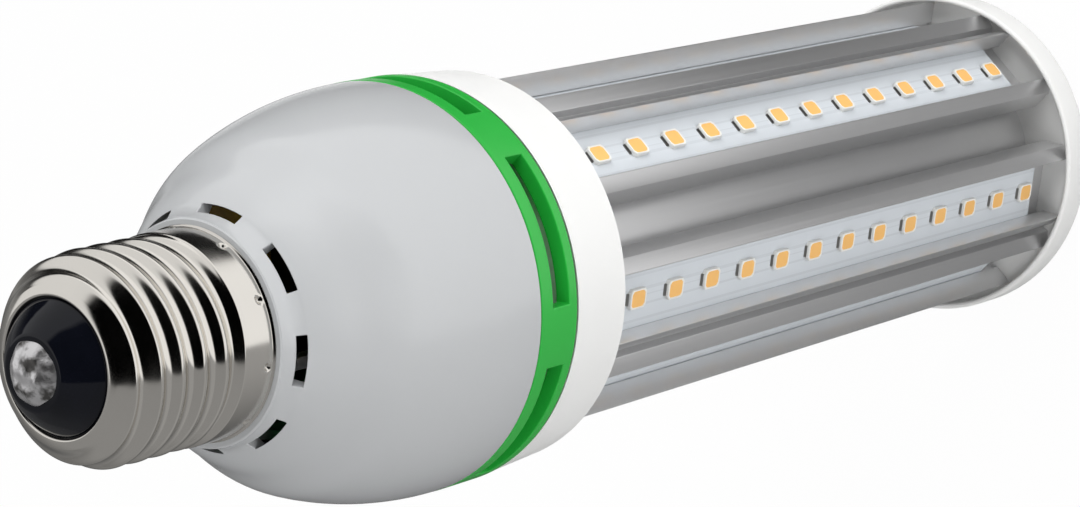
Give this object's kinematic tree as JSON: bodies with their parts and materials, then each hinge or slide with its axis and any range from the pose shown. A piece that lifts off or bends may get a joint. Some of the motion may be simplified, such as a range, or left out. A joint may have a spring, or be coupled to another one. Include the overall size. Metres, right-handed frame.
{
  "type": "corn led bulb",
  "caption": "Corn bulb with a screw cap, a domed driver housing with a green vent ring, and strips of light emitting diodes round an extruded heat sink with a flat end cap.",
  "frame": {"origin": "Middle of the end cap's flat outer face, on which the bulb stands.", "axes": "+Z runs along the bulb's axis from the end cap up to the centre contact of the screw cap. +X and +Y lie across it, with the slit inside each pair of channels at 45, 135, 225 and 315 degrees from +X."},
  "size_m": [0.0542, 0.0542, 0.2048],
  "materials": {
    "contact_tin": "satin",
    "cap_glass": "gloss",
    "cap_nickel": "polished",
    "housing_white": "gloss",
    "ring_green": "gloss",
    "collar_white": "satin",
    "sink_aluminium": "matt",
    "end_white": "satin",
    "screw_steel": "satin",
    "board_white": "gloss",
    "diode_phosphor": "satin",
    "board_green": "satin",
    "tape_dark": "satin",
    "tape_yellow": "satin",
    "can_sleeve": "gloss",
    "film_brown": "gloss",
    "black_moulding": "satin",
    "coil_copper": "satin",
    "wire_sheath": "satin"
  },
  "bodies": {
    "root": {"centre_contact": "contact_tin", "glass_insulator": "cap_glass", "screw_shell": "cap_nickel", "driver_housing": "housing_white", "vent_ring": "ring_green", "collar": "collar_white", "heat_sink": "sink_aluminium", "end_cap": "end_white", "end_screws": "screw_steel", "collar_screws": "screw_steel", "driver_board": "board_green", "driver_panel": "board_green", "transformer_core": "tape_yellow", "transformer_winding": "tape_dark", "bulk_capacitor": "can_sleeve", "output_capacitor": "can_sleeve", "choke": "coil_copper", "film_capacitor": "film_brown", "bridge_rectifier": "black_moulding", "fuse": "black_moulding", "live_wire": "wire_sheath", "neutral_wire": "wire_sheath", "led_leads": "wire_sheath", "board_links": "wire_sheath", "led_board_1": "board_white", "led_row_1": "diode_phosphor", "led_board_2": "board_white", "led_row_2": "diode_phosphor", "led_board_3": "board_white", "led_row_3": "diode_phosphor", "led_board_4": "board_white", "led_row_4": "diode_phosphor", "led_board_5": "board_white", "led_row_5": "diode_phosphor", "led_board_6": "board_white", "led_row_6": "diode_phosphor", "led_board_7": "board_white", "led_row_7": "diode_phosphor", "led_board_8": "board_white", "led_row_8": "diode_phosphor"}
  },
  "joints": []
}
